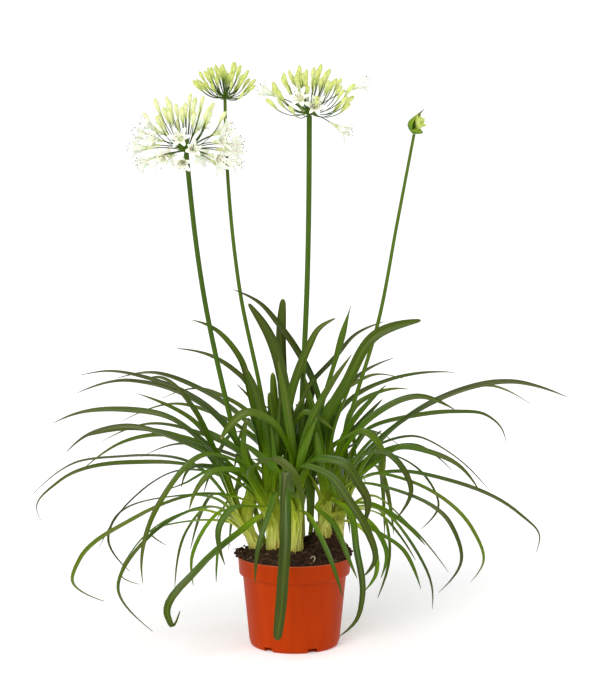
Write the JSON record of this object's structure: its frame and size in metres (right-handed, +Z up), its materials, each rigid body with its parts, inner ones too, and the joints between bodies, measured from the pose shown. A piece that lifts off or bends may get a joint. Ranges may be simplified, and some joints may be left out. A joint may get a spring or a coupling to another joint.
{
  "type": "agapanthus plant",
  "caption": "Potted agapanthus: arching strap leaves in clumps, tall bare stems with round heads of white flowers and buds, in a plastic nursery pot.",
  "frame": {"origin": "centre of the pot's foot, on the floor", "axes": "+Z up along the pot's axis, -Y towards the viewer of the picture, +X to the viewer's right"},
  "size_m": [0.8208, 0.5825, 0.8657],
  "materials": {
    "pot_plastic": "satin orange nursery plastic",
    "soil_peat": null,
    "leaf": null,
    "flower_stem": null,
    "flower_white": null,
    "flower_bud": null
  },
  "bodies": {
    "root": {"pot": "pot_plastic", "soil": "soil_peat", "shoot_1": "leaf", "shoot_2": "leaf", "shoot_3": "leaf", "shoot_4": "leaf", "shoot_5": "leaf", "shoot_6": "leaf", "scape_left": "flower_stem", "scape_back": "flower_stem", "scape_centre": "flower_stem", "scape_right": "flower_stem", "scape_young": "flower_stem", "umbel_left": "flower_white", "umbel_back": "flower_bud", "umbel_centre": "flower_bud", "bud_right": "flower_bud"}
  },
  "joints": []
}
